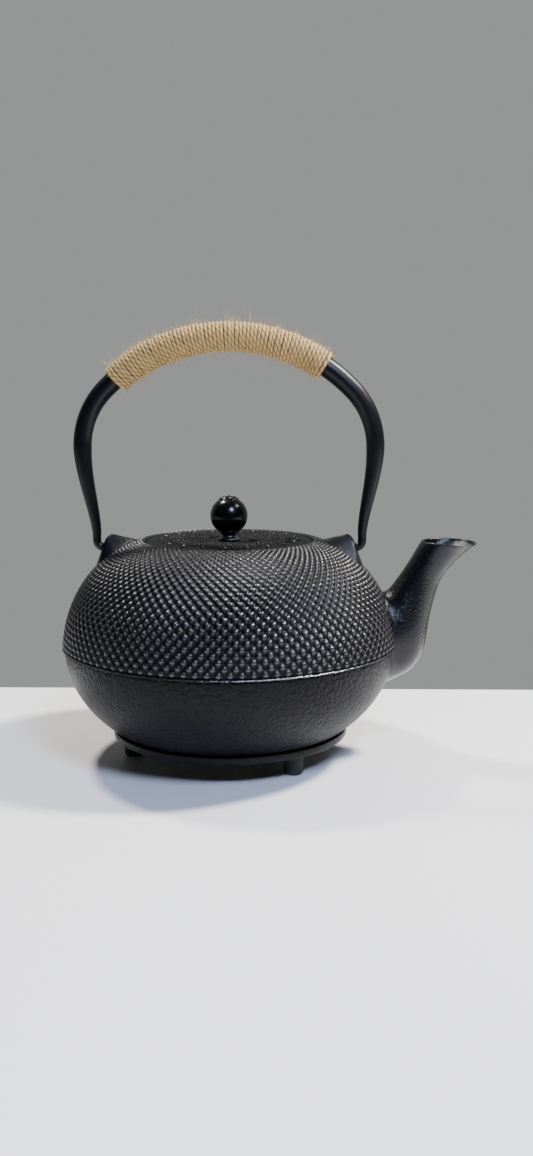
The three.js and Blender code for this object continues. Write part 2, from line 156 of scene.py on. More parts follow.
shelf()
room()
lamp("main lamp", (0.62, 0.06, 0.92), (-0.02, 0, 0.08), 0.15, 27, (1.0, 0.96, 0.9))
lamp("far lamp", (-0.42, 0.34, 1.05), (-0.02, 0, 0.08), 0.14, 14, (1.0, 0.97, 0.92))
lamp("cool lamp", (0.30, -0.70, 0.85), (0, 0, 0.08), 0.30, 13, (0.58, 0.68, 1.0))

# ---- pot: bowl -----------------------------------------------------------------------------------
# The lower half of the pot's one iron casting: a smooth-sided bowl with the pebbled skin of the sand
# mould, under baked black enamel. Its flat base stands in the trivet's rim.

base = 1000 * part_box("pot_body")[0].z
border = base + 50.6
wall = 3.2


def surface(name, points, around=True, loop=False, turns=None, fields=None):
    """A sheet over a grid of points in millimetres from the pot's axis, shaped (copies,) rows, columns, 3.
    Columns turn to the left round the rows' direction. `around` joins the last column to the first and
    `loop` the last row to the first; an open end is closed flat. `turns` gives a UV map its size in
    columns and rows, and `fields` holds one value a point for each named attribute."""
    points = np.asarray(points, float)
    grids = points if points.ndim == 4 else points[None]
    copies, rows, columns = grids.shape[:3]
    first = (np.arange(copies) * rows * columns)[:, None, None]
    index = np.arange(rows * columns).reshape(rows, columns)
    last_row, last_column = rows - (not loop), columns - (not around)
    row, column = np.meshgrid(np.arange(last_row), np.arange(last_column), indexing="ij")
    corner_rows = np.stack([row, row, row + 1, row + 1], axis=-1)
    corner_columns = np.stack([column, column + 1, column + 1, column], axis=-1)
    quads = index[corner_rows % rows, corner_columns % columns].reshape(-1, 4)
    faces = (quads[None] + first).reshape(-1, 4).tolist()
    if around and not loop:
        for end in (index[0, ::-1], index[-1]):
            faces += (end[None] + first[:, 0]).tolist()
    if loop and not around:
        for end in (index[:, 0], index[::-1, -1]):
            faces += (end[None] + first[:, 0]).tolist()
    mesh = bpy.data.meshes.new(name)
    place = grids.reshape(-1, 3) * 0.001 + (axis_x, 0, 0)
    mesh.from_pydata(place.tolist(), [], faces)
    mesh.polygons.foreach_set("use_smooth", np.ones(len(faces), bool))
    mesh.set_sharp_from_angle(angle=math.radians(48))
    if turns is not None:
        across = corner_columns.reshape(-1) * (turns[0] / columns)
        along = corner_rows.reshape(-1) * (turns[1] / rows)
        one = np.stack([across, along], axis=-1)
        flat = np.zeros((len(mesh.loops), 2))
        flat[:len(one) * copies] = np.tile(one, (copies, 1))
        mesh.uv_layers.new(name="UVMap").data.foreach_set("uv", flat.ravel())
    for key, values in (fields or {}).items():
        held = mesh.attributes.new(key, "FLOAT", "POINT").data
        held.foreach_set("value", np.asarray(values, float).ravel())
    piece = bpy.data.objects.new(name, mesh)
    bpy.context.scene.collection.objects.link(piece)
    return piece


def lathe(profile, columns):
    """A profile of (radius, height) turned about the axis: (r cos a, r sin a, z)."""
    profile = np.asarray(profile, float)
    angle = np.linspace(0, 2 * math.pi, columns, endpoint=False)
    radius, height = profile[:, :1], profile[:, 1:]
    return np.stack([radius * np.cos(angle), radius * np.sin(angle), height + 0 * angle], axis=-1)


def rounded(profile, radius, steps=4):
    """The same outline with each inner corner rounded: a quadratic curve from one side to the next."""
    profile = np.asarray(profile, float)
    share = np.linspace(0, 1, steps + 1)[:, None]
    parts = [profile[:1]]
    for before, corner, after in zip(profile[:-2], profile[1:-1], profile[2:]):
        one, two = before - corner, after - corner
        reach = min(radius, 0.45 * np.linalg.norm(one), 0.45 * np.linalg.norm(two))
        start = corner + one / np.linalg.norm(one) * reach
        stop = corner + two / np.linalg.norm(two) * reach
        parts.append((1 - share) ** 2 * start + 2 * share * (1 - share) * corner + share ** 2 * stop)
    return np.vstack([*parts, profile[-1:]])


def fit(piece, body, nodes, material):
    """Hangs a piece on its body, in place of the plain solids that it stands for."""
    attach(piece, body)
    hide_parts(*nodes)
    piece.data.materials.append(material)
    return piece


def enamel_skin():
    """Baked enamel on sand-cast iron: pebbles of one size with a finer grain on them, cloudy shine, and
    a little settled dust."""
    group = bpy.data.node_groups.new("cast enamel", "ShaderNodeTree")
    for name, kind in (("Vector", "Vector"), ("Tint", "Color"), ("Shine", "Float"), ("Pebbles", "Float")):
        group.interface.new_socket(name, in_out="INPUT", socket_type="NodeSocket" + kind)
    for name, kind in (("Colour", "Color"), ("Roughness", "Float"), ("Height", "Float")):
        group.interface.new_socket(name, in_out="OUTPUT", socket_type="NodeSocket" + kind)
    given = group.nodes.new("NodeGroupInput").outputs
    vector = given["Vector"]
    pebble = node(group, "TexNoise", Vector=vector, Scale=given["Pebbles"], Detail=2.5, Roughness=0.5,
                  Distortion=0.6).outputs["Fac"]
    cloud = node(group, "TexNoise", Vector=vector, Scale=24.0, Detail=4.0, Roughness=0.6).outputs["Fac"]
    fleck = node(group, "TexVoronoi", Vector=vector, Scale=330.0, Randomness=1.0).outputs["Distance"]
    dust = node(group, "MapRange", Value=fleck, From_Min=0.1, From_Max=0.02).outputs["Result"]
    dust = node(group, "Math", {"operation": "MULTIPLY"}, in0=dust, in1=cloud).outputs[0]
    shade = node(group, "MapRange", Value=cloud, From_Min=0.3, From_Max=0.7, To_Min=0.75, To_Max=1.3)
    tinted = node(group, "VectorMath", {"operation": "SCALE"}, in0=given["Tint"],
                  Scale=shade.outputs["Result"]).outputs[0]
    dusted = node(group, "Mix", {"data_type": "RGBA"}, Factor=dust, in6=tinted,
                  in7=colour(0.05, 0.047, 0.044)).outputs[2]
    change = node(group, "MapRange", Value=cloud, From_Min=0.3, From_Max=0.7, To_Min=-0.05, To_Max=0.07)
    rough = node(group, "Math", {"operation": "ADD"}, in0=given["Shine"], in1=change.outputs["Result"])
    result = group.nodes.new("NodeGroupOutput").inputs
    for source, name in ((dusted, "Colour"), (rough.outputs[0], "Roughness"), (pebble, "Height")):
        group.links.new(source, result[name])
    return group


enamel = enamel_skin()


def enamelled(name, tint, shine, pebbles, relief, gloss=0.14, tips=None):
    """Black enamel with the casting's pebbles `pebbles` to the metre and `relief` millimetres deep; `gloss`
    is its specular level. Where a tip colour is given, the attribute "dot" paints it on the tops of the cast
    dots as a painted highlight, and makes them smoother and glossier, as rubbed iron."""
    material = bpy.data.materials.new(name)
    material.use_nodes = True
    tree = material.node_tree
    place = node(tree, "TexCoord").outputs["Object"]
    skin = tree.nodes.new("ShaderNodeGroup")
    skin.node_tree = enamel
    tree.links.new(place, skin.inputs["Vector"])
    skin.inputs["Tint"].default_value = tint
    skin.inputs["Shine"].default_value = shine
    skin.inputs["Pebbles"].default_value = pebbles
    shader = tree.nodes["Principled BSDF"]
    base_colour, rough = skin.outputs["Colour"], skin.outputs["Roughness"]
    if tips is not None:
        dot = node(tree, "Attribute", {"attribute_name": "dot"}).outputs["Fac"]
        top = node(tree, "MapRange", Value=dot, From_Min=0.45, From_Max=1.0).outputs["Result"]
        # Painted highlight: the tops of the dots take the lighter tip colour.
        base_colour = node(tree, "Mix", {"data_type": "RGBA"}, Factor=top, in6=base_colour,
                           in7=tips).outputs[2]
        polish = node(tree, "Math", {"operation": "MULTIPLY"}, in0=top, in1=-0.16).outputs[0]
        rough = node(tree, "Math", {"operation": "ADD"}, in0=rough, in1=polish).outputs[0]
        level = node(tree, "MapRange", Value=top, To_Min=gloss, To_Max=0.9).outputs["Result"]
        tree.links.new(level, shader.inputs["Specular IOR Level"])
    tree.links.new(base_colour, shader.inputs["Base Color"])
    tree.links.new(rough, shader.inputs["Roughness"])
    bump = node(tree, "Bump", Height=skin.outputs["Height"], Distance=relief * 0.001, Strength=1.0)
    tree.links.new(bump.outputs[0], shader.inputs["Normal"])
    shader.inputs["Specular IOR Level"].default_value = gloss
    return material


def bowl_radius(height, inset=0.0):
    """The bowl's side, an upright ellipse about a ring 5.6 mm off the axis: r = 5.6 + 89.2 sqrt(1 - h^2)."""
    share = (np.asarray(height, float) - base - 49) / (64.1 - inset)
    return 5.6 + (89.2 - inset) * np.sqrt(np.clip(1 - share ** 2, 0, 1))


def bowl_profile():
    """Base, side and a shallow groove under the dotted band, then back down the inside to the floor."""
    side = np.linspace(base + 2.2, border - 1.9, 46)
    outside = np.stack([bowl_radius(side), side], axis=-1)
    foot = rounded([[0.4, base + 1.2], [50.0, base + 1.2], [52.0, base], [60.6, base],
                    outside[0], outside[1]], 2.0)[:-1]
    groove = [[94.62, border - 1.3], [94.25, border - 0.8], [94.1, border - 0.1], [93.0, border + 0.4]]
    inner = np.linspace(border + 0.4, base + wall, 20)
    inside = np.stack([bowl_radius(inner, wall), inner], axis=-1)
    return np.vstack([foot, outside[1:], groove, inside, [[0.4, base + wall]]])


bowl_enamel = enamelled("bowl enamel", colour(0.005, 0.005, 0.0052), 0.34, 470.0, 1.2, gloss=0.11)
fit(surface("pot_bowl", lathe(bowl_profile(), 192)), "pot", ["pot_body"], bowl_enamel)

# ---- pot: dotted band ----------------------------------------------------------------------------
# The upper half of the same casting, covered with staggered rows of a hundred cone-shaped dots, cast in
# one with it. The dots shrink towards the mouth, and the band stands out over the bowl in a small lip.

dots_round = 100
row_step = 0.54  # distance between rows, in dot spacings
dot_height = 0.27  # also in dot spacings
collar_radius = 50.2
band_half_width, band_half_height = 58.0, 65.4
band_centre = (37.7, base + 46.3)


def band_radius(height):
    """The band's side: r = 37.7 + 58 sqrt(1 - h^2)."""
    share = (np.asarray(height, float) - band_centre[1]) / band_half_height
    return band_centre[0] + band_half_width * np.sqrt(np.clip(1 - share ** 2, 0, 1))


def shoulder_height(radius):
    """The band's top: z = centre + 65.4 sqrt(1 - r^2), with r measured from the ring of centres."""
    share = (np.asarray(radius, float) - band_centre[0]) / band_half_width
    return band_centre[1] + band_half_height * np.sqrt(np.clip(1 - share ** 2, 0, 1))


def band_line(rows, inset):
    """Points up the band with equal steps of arc length over radius, which keeps the dots' net square at
    every height; also the outward normals and that running sum."""
    low = math.asin((border - band_centre[1]) / band_half_height)
    high = math.acos((collar_radius - band_centre[0]) / band_half_width)
    turn = np.linspace(low, high, 4000)
    radius = band_centre[0] + band_half_width * np.cos(turn)
    height = band_centre[1] + band_half_height * np.sin(turn)
    step = np.hypot(np.diff(radius), np.diff(height)) / ((radius[1:] + radius[:-1]) / 2)
    run = np.concatenate([[0], np.cumsum(step)])
    even = np.linspace(0, run[-1], rows)
    turn = np.interp(even, run, turn)
    normal = np.stack([np.cos(turn) * band_half_height, np.sin(turn) * band_half_width], axis=-1)
    normal /= np.linalg.norm(normal, axis=1, keepdims=True)
    line = np.stack([band_centre[0] + band_half_width * np.cos(turn),
                     band_centre[1] + band_half_height * np.sin(turn)], axis=-1)
    return line - inset * normal, normal, even


def dot_relief(angle, run):
    """Height of the dots from 0 in the pits to 1 at the tips. With u dots round and w rows up, a dot's
    profile is a cone with a rounded tip, falling with the distance sqrt(du^2 + (0.54 dw)^2)."""
    around = angle * dots_round / (2 * math.pi)
    up = run * dots_round / (2 * math.pi * row_step) - 0.72
    relief = np.zeros(np.broadcast(around, up).shape)
    tip, reach = 0.13, 0.455
    full = math.hypot(tip, reach) - tip
    for neighbour in (-1, 0, 1, 2):
        row = np.floor(up) + neighbour
        offset = 0.5 * (row % 2)
        aside = (around - offset + 0.5) % 1 - 0.5
        apart = np.hypot(aside, row_step * (up - row))
        cone = (math.hypot(tip, reach) - np.hypot(tip, apart)) / full
        shown = (row > -0.5) & (row < 100)
        relief = np.maximum(relief, np.where(shown, cone, 0))
    return relief


def dotted_half(name, start):
    """Half of the band: the dotted outside, its edge at the collar, a plain inside, and the lip below."""
    columns = 500
    line, normal, run = band_line(150, 0)
    angle = start + np.linspace(0, math.pi, columns + 1)
    relief = dot_relief(angle[None], run[:, None])
    pitch = 2 * math.pi * line[:, :1] / dots_round
    raised = pitch * dot_height * (relief - 0.55)
    radius = line[:, :1] + raised * normal[:, :1]
    height = line[:, 1:] + raised * normal[:, 1:]
    inside, _, _ = band_line(11, wall)
    # The lip is left as cast, so its edge wanders a tenth of a millimetre.
    ragged = 0.13 * np.sin(41 * angle) + 0.1 * np.sin(97 * angle + 1) + 0.08 * np.sin(233 * angle)
    rest = np.vstack([[[collar_radius - 0.4, shoulder_height(collar_radius) - 0.3]], inside[::-1],
                      [[92.6, border - 0.9], [95.0, border - 1.0], [95.9, border - 0.95],
                       [96.4, border - 0.6], [96.3, border - 0.2], [95.8, border + 0.2]]])
    lip = np.concatenate([np.zeros(len(rest) - 4), [0.6, 1, 1, 0.7]])[:, None]
    radius = np.vstack([radius, rest[:, :1] + lip * ragged])
    height = np.vstack([height, rest[:, 1:] + 0 * angle])
    # The lip's last four rows get dot 1, so they take the lighter tip colour: a painted highlight along the
    # lip.
    dot = np.vstack([relief, np.full((len(rest) - 4, columns + 1), 0.5), np.ones((4, columns + 1))])
    points = np.stack([radius * np.cos(angle), radius * np.sin(angle), height], axis=-1)
    return surface(name, points, around=False, loop=True, fields={"dot": dot})


# The lighter tip colour is a painted highlight on the dots' tops and on the lip.
dot_enamel = enamelled("dotted enamel", colour(0.004, 0.004, 0.0046), 0.38, 1300.0, 0.16,
                       tips=colour(0.022, 0.022, 0.024))
for half_name, half_start in (("pot_dots_front", -math.pi), ("pot_dots_back", 0.0)):
    fit(dotted_half(half_name, half_start), "pot", ["pot_body"], dot_enamel)

# ---- pot: collar and mouth -----------------------------------------------------------------------
# A plain ring around the lid, flush with the dots' tips, turned true on the lathe; inside it a ledge
# carries the lid and the strainer, over the round mouth.

lid_low, lid_high = (1000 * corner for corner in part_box("lid_plate"))
lid_radius = (lid_high.x - lid_low.x) / 2
collar_top = lid_high.z
seat_radius = lid_radius + 0.5
seat = 1000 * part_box("strainer_rim")[0].z - 0.3
mouth_radius = seat_radius - 4.4


def collar_profile():
    foot = float(shoulder_height(collar_radius))
    outline = [[collar_radius + 0.5, foot - 2.6], [collar_radius + 0.55, foot + 0.1],
               [collar_radius - 0.5, collar_top], [seat_radius, collar_top], [seat_radius, seat],
               [mouth_radius, seat], [mouth_radius, seat - 3.8], [mouth_radius + 3, seat - 4.6],
               [collar_radius + 0.5, foot - 2.6]]
    return rounded(outline, 0.5)[:-1]


collar_enamel = enamelled("collar enamel", colour(0.005, 0.005, 0.006), 0.36, 1100.0, 0.3, gloss=0.2)
collar = surface("pot_collar", lathe(collar_profile(), 160), loop=True)
fit(collar, "pot", ["pot_body"], collar_enamel)

# ---- pot: spout ----------------------------------------------------------------------------------
# Cast with the body: it rises from the bowl's side, curves up, narrows, and flares to a thin poured lip.
# Its skin runs into the body through a small fillet.

spout_reach, spout_root, spout_lip = 45.7, border - 22.6, collar_top - 1.2
# upper reach, upper rise, lower reach, lower rise, as shares of the spout, and half width in millimetres
spout_stations = np.array([
    [-0.346, 0.58, -0.346, 0, 15],
    [-0.162, 0.625, -0.083, 0.002, 16.5],
    [-0.138, 0.633, 0.203, 0.082, 16.5],
    [-0.114, 0.643, 0.361, 0.222, 15.5],
    [-0.077, 0.663, 0.429, 0.453, 13.5],
    [-0.007, 0.716, 0.479, 0.583, 12],
    [0.098, 0.802, 0.56, 0.728, 11],
    [0.197, 0.892, 0.705, 0.842, 11.8],
    [0.263, 0.958, 0.858, 0.928, 13.6],
    [0.311, 1, 1, 0.99, 15.9],
])


def smooth_through(values, share):
    """A Catmull-Rom curve through rows of values, at shares from 0 to 1 of their number."""
    padded = np.vstack([2 * values[0] - values[1], values, 2 * values[-1] - values[-2]])
    place = np.clip(share, 0, 1) * (len(values) - 1)
    cell = np.minimum(place.astype(int), len(values) - 2)
    t = (place - cell)[:, None]
    a, b, c, d = (padded[cell + k] for k in range(4))
    return 0.5 * (2 * b + (c - a) * t + (2 * a - 5 * b + 4 * c - d) * t ** 2
                  + (3 * b - a - 3 * c + d) * t ** 3)


def body_radius(height):
    return np.where(height > border, band_radius(height), bowl_radius(height))


def out_of_wall(points, depth):
    """Keeps points from sinking deeper than `depth` under the pot's outside, moving them straight out."""
    radius = np.hypot(points[..., 0], points[..., 1])
    least = body_radius(points[..., 2]) - depth
    grow = np.maximum(1, least / np.maximum(radius, 1))
    return points * np.stack([grow, grow, np.ones_like(grow)], axis=-1)


def spout_rings(share, inset, columns, fillet=0.0):
    """Ellipses between the upper and lower edge, drawn in by `inset`, and swollen by `fillet` where they
    meet the body: the swelling falls as exp(-distance / 2.4)."""
    station = smooth_through(spout_stations, share)
    shoulder = band_radius(band_centre[1])
    rise = spout_lip - spout_root
    upper = np.stack([shoulder + station[:, 0] * spout_reach, spout_root + station[:, 1] * rise], axis=-1)
    lower = np.stack([shoulder + station[:, 2] * spout_reach, spout_root + station[:, 3] * rise], axis=-1)
    centre, half = (upper + lower) / 2, (upper - lower) / 2
    length = np.linalg.norm(half, axis=1, keepdims=True)
    half = half / length
    angle = np.linspace(0, 2 * math.pi, columns, endpoint=False)[None]
    inset = np.asarray(inset, float).reshape(-1, 1)
    tall, wide = length - inset, station[:, 4:5] - inset

    def at(extra):
        along = (tall + extra) * np.cos(angle)
        return np.stack([centre[:, :1] + half[:, :1] * along, -(wide + extra) * np.sin(angle),
                         centre[:, 1:] + half[:, 1:] * along], axis=-1)

    plain = at(0)
    off = np.hypot(plain[..., 0], plain[..., 1]) - body_radius(plain[..., 2])
    return out_of_wall(at(fillet * np.exp(-np.clip(off, -1, 30) / 2.4)), 1.6)


def spout_surface():
    columns = 72
    rise = np.concatenate([np.linspace(0.02, 0.12, 3), np.linspace(0.16, 1, 76)])
    outside = spout_rings(rise, np.zeros(len(rise)), columns, fillet=1.5)
    bend = np.linspace(0, math.pi, 9)[1:-1]
    lip = spout_rings(np.ones(7), 0.8 * (1 - np.cos(bend)), columns)
    lip[..., 2] += 0.75 * np.sin(bend)[:, None]
    back = np.concatenate([np.linspace(1, 0.16, 40), [0.12, 0.02]])
    bore = spout_rings(back, 1.6 + 1.4 * (1 - back), columns)
    return np.concatenate([outside, lip, bore])


spout_enamel = enamelled("spout enamel", colour(0.004, 0.004, 0.0055), 0.20, 1000.0, 0.30, gloss=0.32)
fit(surface("pot_spout", spout_surface(), loop=True), "pot", ["pot_body"], spout_enamel)

# ---- pot: bail lugs ------------------------------------------------------------------------------
# Two hooded ears, cast on the shoulder left and right, each with a blunt ridge running in to the collar
# and a hole in its leaning outer face, which the bail's hook turns in.

lug_foot = pivot - 13
lug_face = float(band_radius(lug_foot)) - 0.8 - 0.375 * 13
hole_radius = 3.0
lug_length = 19.0


def lug_surface(side):
    """Sections behind the leaning face, each a polygon about the hole with rounded corners: the radius
    towards an angle is (sum over sides of (cos(angle - side) / distance)^9)^(-1/9). The face closes in to
    the hole, and the hole runs on inwards."""
    columns = 96
    angle = np.linspace(0, 2 * math.pi, columns, endpoint=False)[None]
    edge = 1.6
    bend = np.linspace(0, math.pi / 2, 6)[:-1]
    depth = np.concatenate([np.linspace(lug_length, edge + 0.6, 40), edge * (1 - np.sin(bend))])[:, None]
    shrink = np.concatenate([np.zeros(40), edge * (1 - np.cos(bend))])[:, None]
    back = np.clip(depth / lug_length, 0, 1)
    ridge = np.where(depth < 3.2, 6.0 + 2.3 * np.sin(np.clip(depth / 3.2, 0, 1) * math.pi / 2),
                     8.3 - 0.26 * (depth - 3.2)) - shrink
    lean = np.radians(29.4 + 24.6 * back)
    flank = 5.0 - 0.2 * back - shrink
    foot = 13.0 - shrink

    def side_at(direction, distance):
        return (np.maximum(0, np.cos(angle - direction)) / distance) ** 9

    total = (side_at(math.pi / 2, ridge) + side_at(lean, flank) + side_at(math.pi - lean, flank)
             + side_at(-math.pi / 2, foot))
    spread = total ** (-1 / 9)
    inward = np.linspace(1, 0, 14)[1:, None] ** 1.3
    face = hole_radius + (spread[-1:] - hole_radius) * inward
    bore = np.array([hole_radius, hole_radius - 0.1, hole_radius - 0.1])[:, None] + 0 * angle
    reach = np.vstack([spread, face, bore])
    behind = np.concatenate([depth[:, 0], np.zeros(13), [0.35, 3.0, 7.0]])[:, None]
    y = reach * np.cos(angle)
    z = pivot + reach * np.sin(angle)
    x = lug_face - 0.375 * (z - pivot) - y ** 2 / 40 - behind
    radius = np.hypot(x, y)
    on_top = shoulder_height(radius) - 1.7
    z[:45] = np.maximum(z, on_top)[:45]
    points = np.stack([side * x, -side * y, z], axis=-1)
    return points[:, ::-1]


lug_enamel = enamelled("lug enamel", colour(0.005, 0.005, 0.0065), 0.33, 1300.0, 0.2, gloss=0.22)
for lug_name, lug_side in (("pot_lug_spout_side", 1), ("pot_lug_back", -1)):
    fit(surface(lug_name, lug_surface(lug_side)), "pot", ["pot_body"], lug_enamel)

# ---- lid -----------------------------------------------------------------------------------------
# A flat iron disc with a ring under it that centres it in the mouth. Its top is cast with fine dots and
# twenty larger studs near the edge, around a plain middle.


def lid_top(radius, angle):
    """Fine dots in staggered rows of 64, as on the band, from 12 to 36 mm, and twenty round studs."""
    run = np.log(np.maximum(radius, 1) / 12.0)
    around = angle * 64 / (2 * math.pi)
    up = run * 64 / (2 * math.pi * 0.62)
    fine = np.zeros(np.broadcast(around, up).shape)
    for neighbour in (0, 1):
        row = np.floor(up) + neighbour
        aside = (around - 0.5 * (row % 2) + 0.5) % 1 - 0.5
        apart = np.hypot(aside, 0.62 * (up - row))
        fine = np.maximum(fine, np.clip(1 - (apart / 0.42) ** 2, 0, 1))
    shown = np.clip((radius - 12.2) / 1.0, 0, 1) * np.clip((36.2 - radius) / 0.8, 0, 1)
    spacing = 2 * math.pi / 20
    aside = ((angle + spacing / 2) % spacing - spacing / 2) * radius
    stud = np.clip(1 - (aside ** 2 + (radius - 39.4) ** 2) / 1.25 ** 2, 0, 1) ** 0.5
    size = 2 * math.pi * radius / 64
    # The second value is the "dot" field: the studs take the full painted highlight of the tip colour, the
    # fine dots a weaker one.
    return np.maximum(fine * shown * 0.36 * size, 1.15 * stud), np.maximum(0.62 * fine * shown, stud)


def lid_surface():
    columns = 640
    angle = np.linspace(0, 2 * math.pi, columns, endpoint=False)[None]
    under = lid_low.z + 9.0
    below = [[0.4, under], [36.0, under], [38.0, under], [38.2, lid_low.z + 0.6], [38.8, lid_low.z],
             [40.0, lid_low.z], [40.6, lid_low.z + 0.6], [40.6, under], [46.9, under],
             [lid_radius, under + 0.6], [lid_radius, collar_top - 1.0],
             [lid_radius - 0.25, collar_top - 0.35]]
    flat = np.concatenate([np.linspace(lid_radius - 0.9, 41.2, 6), np.linspace(41.0, 11.5, 122), [7.0, 0.4]])
    relief, dot = lid_top(flat[:, None], angle)
    below = np.array(below)
    radius = np.vstack([below[:, :1], flat[:, None]]) + 0 * angle
    height = np.vstack([below[:, 1:] + 0 * angle, collar_top - 0.1 + relief])
    points = np.stack([radius * np.cos(angle), radius * np.sin(angle), height], axis=-1)
    field = np.vstack([np.zeros((len(below), columns)), dot])
    return surface("lid_disc", points, fields={"dot": field})


# The lighter tip colour is a painted highlight on the lid's studs and fine dots.
lid_enamel = enamelled("lid enamel", colour(0.003, 0.003, 0.0035), 0.34, 1100.0, 0.6, gloss=0.05,
                       tips=colour(0.02, 0.02, 0.021))
fit(lid_surface(), "lid", ["lid_plate"], lid_enamel)

# ---- knob ----------------------------------------------------------------------------------------
# A ball on a short neck, both turned iron in gloss black. A five-petalled plum blossom is cast on top of
# the ball, and a screw from under the lid holds the two.


def neck_profile():
    low, high = (1000 * corner.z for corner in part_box("knob_neck"))
    outline = [[0.4, low - 0.25], [6.3, low - 0.25], [6.2, low + 0.5], [4.6, low + 1.3], [4.0, low + 2.2],
               [4.05, high - 0.7], [5.0, high + 0.2], [5.0, high + 0.6], [0.4, high + 0.6]]
    return rounded(outline, 0.8, 5)


def ball_surface():
    """A sphere over (latitude, angle). The blossom adds to the radius: five petals, each a dome about a
    point 3.3 mm from the top, a rim round the dome's foot, and a small dome in the middle."""
    low, high = (1000 * corner.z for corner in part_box("knob_ball"))
    radius = 10.7
    centre = low + 0.92 * radius
    columns = 180
    angle = np.linspace(0, 2 * math.pi, columns, endpoint=False)[None]
    turn = np.concatenate([np.linspace(math.asin((low - centre) / radius), 0.55, 40),
                           np.linspace(0.57, math.pi / 2 - 0.01, 84)])[:, None]
    out = radius * np.cos(turn)
    petal = np.zeros((len(turn), columns))
    for k in range(5):
        way = 2 * math.pi * (k + 0.35) / 5
        apart = np.hypot(out * np.cos(angle) - 3.5 * math.cos(way), out * np.sin(angle) - 3.5 * math.sin(way))
        dome = np.clip(1 - (apart / 2.45) ** 2, 0, 1) ** 0.55
        vein = 0.22 * np.exp(-((apart - 1.1) / 0.35) ** 2)
        petal = np.maximum(petal, dome - vein * (apart < 2.4))
    middle = np.clip(1 - (out / 1.35) ** 2, 0, 1) ** 0.5 * 1.25
    relief = 0.85 * np.maximum(petal, middle) * (turn > 0.5)
    points = (radius + relief)[..., None] * np.stack(
        [np.cos(turn) * np.cos(angle), np.cos(turn) * np.sin(angle), np.sin(turn) + 0 * angle], axis=-1)
    points[..., 2] += centre
    foot = points[:1] * [0.08, 0.08, 1]
    return np.concatenate([foot, points])


knob_enamel = enamelled("knob gloss", colour(0.003, 0.003, 0.0035), 0.19, 700.0, 0.08, gloss=0.3)
neck_enamel = enamelled("neck gloss", colour(0.008, 0.008, 0.01), 0.30, 900.0, 0.10, gloss=0.8)
fit(surface("knob_stem", lathe(neck_profile(), 72)), "lid", ["knob_neck"], neck_enamel)
fit(surface("knob_blossom_ball", ball_surface()), "lid", ["knob_ball"], knob_enamel)

# ---- bail ----------------------------------------------------------------------------------------
# One forged steel rod bent over the pot: hooks turned in at both ends, arms that swell as they bow out,
# round shoulders and a flatter crown. Satin black paint.

hook_radius, arm_radius, grip_radius = 2.4, 5.2, 5.8
bail_rise, bow_x, hook_x = 118.8, 83.2, lug_face + 2.4 + 0.8
crown_arc, shoulder_arc = 98.0, 46.0


def bezier(points, steps):
    """A Bezier curve of any order, by drawing its control lines together."""
    share = np.linspace(0, 1, steps)[:, None]
    lines = [np.asarray(p, float)[None] + 0 * share for p in points]
    while len(lines) > 1:
        lines = [(1 - share) * a + share * b for a, b in zip(lines[:-1], lines[1:])]
    return lines[0]


def bail_line():
    """Centreline in the plane of the bail as (x, z), from the spout-side hook over the crown, resampled to
    even steps: straight hook, bend, bowed arm, and two arcs that meet in line."""
    lean = math.asin((bow_x - shoulder_arc) / (crown_arc - shoulder_arc))
    crown = pivot + bail_rise - crown_arc
    shoulder = np.array([bow_x - shoulder_arc, crown + (crown_arc - shoulder_arc) * math.cos(lean)])
    bend, foot = 4.2, pivot + 8.5
    rise = shoulder[1] - foot

    def arc(centre, radius, start, stop, steps):
        turn = np.linspace(start, stop, steps)
        return np.asarray(centre) + radius * np.stack([np.cos(turn), np.sin(turn)], axis=-1)

    half = np.vstack([
        [[lug_face - 6, pivot]],
        bezier([(hook_x - bend, pivot), (hook_x, pivot), (hook_x, pivot + bend)], 12),
        bezier([(hook_x, foot), (hook_x + 0.7, foot + 0.28 * rise), (bow_x, shoulder[1] - 0.36 * rise),
                (bow_x, shoulder[1])], 40),
        arc(shoulder, shoulder_arc, 0, math.pi / 2 - lean, 40)[1:],
        arc((0, crown), crown_arc, math.pi / 2 - lean, math.pi / 2, 60)[1:],
    ])
    line = np.vstack([half, half[-2::-1] * [-1, 1]])
    run = np.concatenate([[0], np.cumsum(np.hypot(*np.diff(line, axis=0).T))])
    even = np.linspace(0, run[-1], 420)
    return np.stack([np.interp(even, run, line[:, 0]), np.interp(even, run, line[:, 1])], axis=-1)


def rod_radius(height):
    """Slim at the hooks, full from 56 mm up, a little fuller under the twine."""
    up = np.clip((height - pivot - 6) / 50, 0, 1)
    over = np.clip((height - pivot - 0.5 * bail_rise) / (0.5 * bail_rise), 0, 1)
    grip = over ** 2 * (3 - 2 * over)
    return hook_radius + (arm_radius - hook_radius) * up + (grip_radius - arm_radius) * grip


def frames(line):
    """Unit tangents of an (x, z) line and its outward normals, both as 3-D rows."""
    along = np.gradient(line, axis=0)
    along /= np.linalg.norm(along, axis=1, keepdims=True)
    zero = np.zeros(len(line))
    tangent = np.stack([along[:, 0], zero, along[:, 1]], axis=-1)
    outward = np.stack([along[:, 1], zero, -along[:, 0]], axis=-1)
    return tangent, outward


def tube(line, radius, columns):
    """Circles of the given radius across an (x, z) line."""
    _, outward = frames(line)
    angle = np.linspace(0, 2 * math.pi, columns, endpoint=False)
    centre = np.stack([line[:, 0], 0 * line[:, 0], line[:, 1]], axis=-1)
    radius = np.asarray(radius)[:, None, None]
    flat = outward[:, None] * np.cos(angle)[None, :, None]
    side = np.array([0, 1, 0]) * np.sin(angle)[None, :, None]
    return centre[:, None] + radius * (flat + side)


def bail_surface():
    line = bail_line()
    radius = rod_radius(line[:, 1])
    radius[[0, -1]] = hook_radius * 0.7
    return tube(line, radius, 40)


rod_paint = enamelled("bail paint", colour(0.004, 0.004, 0.005), 0.34, 420.0, 0.05, gloss=0.25)
fit(surface("bail_bar", bail_surface()), "bail", ["bail_rod"], rod_paint)
